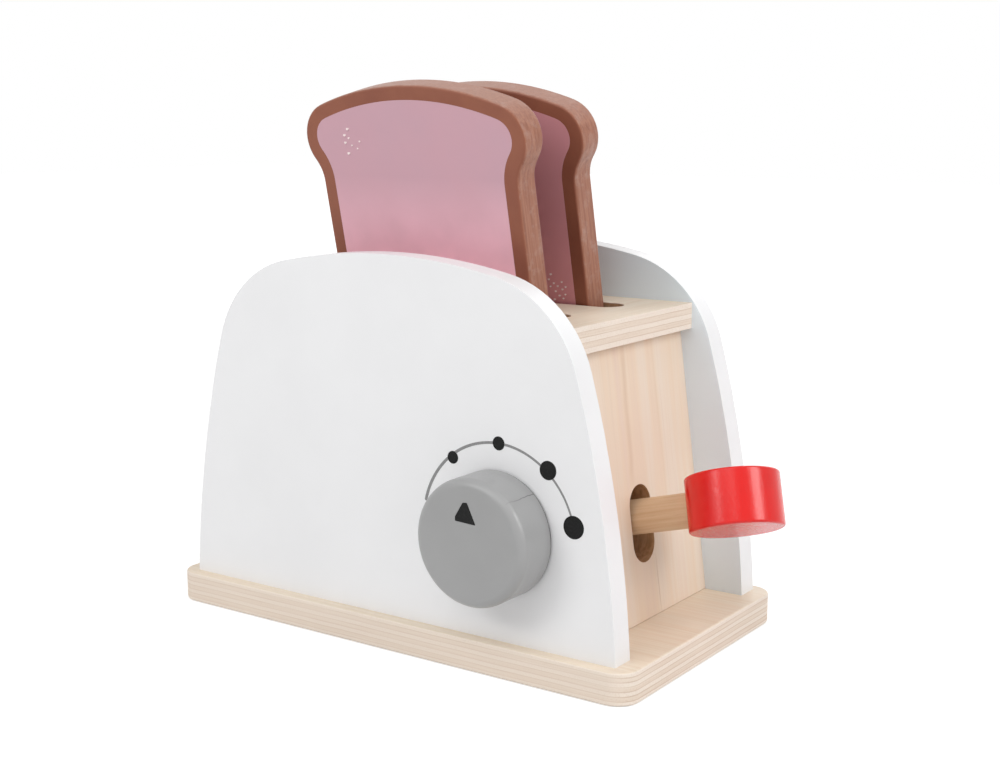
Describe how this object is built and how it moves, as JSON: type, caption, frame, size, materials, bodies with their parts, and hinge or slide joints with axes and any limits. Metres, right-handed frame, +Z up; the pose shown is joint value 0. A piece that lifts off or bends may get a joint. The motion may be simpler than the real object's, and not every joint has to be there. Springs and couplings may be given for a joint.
{
  "type": "toy toaster",
  "caption": "Wooden play toaster whose side lever lifts toy bread slices out of the slots in its top, with a turning dial on the front.",
  "frame": {"origin": "centre of the base board's underside", "axes": "+X towards the lever, +Y towards the back, +Z up"},
  "size_m": [0.2042, 0.1091, 0.1767],
  "materials": {
    "plywood": "natural, satin lacquer",
    "wall_wood": "natural, satin lacquer",
    "white_paint": "satin paint",
    "dowel_wood": "natural",
    "red_paint": "gloss paint",
    "grey_paint": "matt paint",
    "bread_wood": "stained, with a printed face",
    "steel": "zinc plated",
    "felt": "felt"
  },
  "bodies": {
    "housing": {"base_board": "plywood", "front_panel": "white_paint", "rear_panel": "white_paint", "lever_end_wall": "wall_wood", "plain_end_wall": "wall_wood", "top_board": "plywood", "pivot_pin": "steel", "pivot_block_front": "wall_wood", "pivot_block_rear": "wall_wood", "rest_pad": "felt", "guide_post_lever_end": "dowel_wood", "guide_post_plain_end": "dowel_wood", "joining_dowels": "dowel_wood", "base_screws": "steel", "block_screws": "steel"},
    "lever": {"lever_rod": "dowel_wood", "lever_knob": "red_paint"},
    "tray": {"tray_board": "plywood", "tray_leg": "wall_wood"},
    "dial": {"dial_knob": "grey_paint", "dial_spindle": "dowel_wood", "dial_collar": "dowel_wood"},
    "front_slice": {"front_slice": "bread_wood"},
    "rear_slice": {"rear_slice": "bread_wood"}
  },
  "joints": [
    {"name": "lever_press", "type": "hinge", "parent": "housing", "child": "lever", "pos_m": [0.04598, 0, 0.03706], "axis": [0, 1, 0], "range_deg": [0, 23]},
    {"name": "tray_lift", "type": "slide", "parent": "housing", "child": "tray", "axis": [0, -0.2147, 0.9767], "range_m": [0, 0.02415]},
    {"name": "dial_turn", "type": "hinge", "parent": "housing", "child": "dial", "pos_m": [0.0426, -0.0449, 0.0435], "axis": [0, -1, 0], "continuous": true},
    {"name": "front_slice_out", "type": "slide", "parent": "tray", "child": "front_slice", "axis": [0, -0.2147, 0.9767], "range_m": [0, 0.11]},
    {"name": "rear_slice_out", "type": "slide", "parent": "tray", "child": "rear_slice", "axis": [0, -0.2147, 0.9767], "range_m": [0, 0.11]}
  ],
  "couplings": [
    {"joint": "tray_lift", "follows": "lever_press", "m_per_rad": 0.059671}
  ]
}
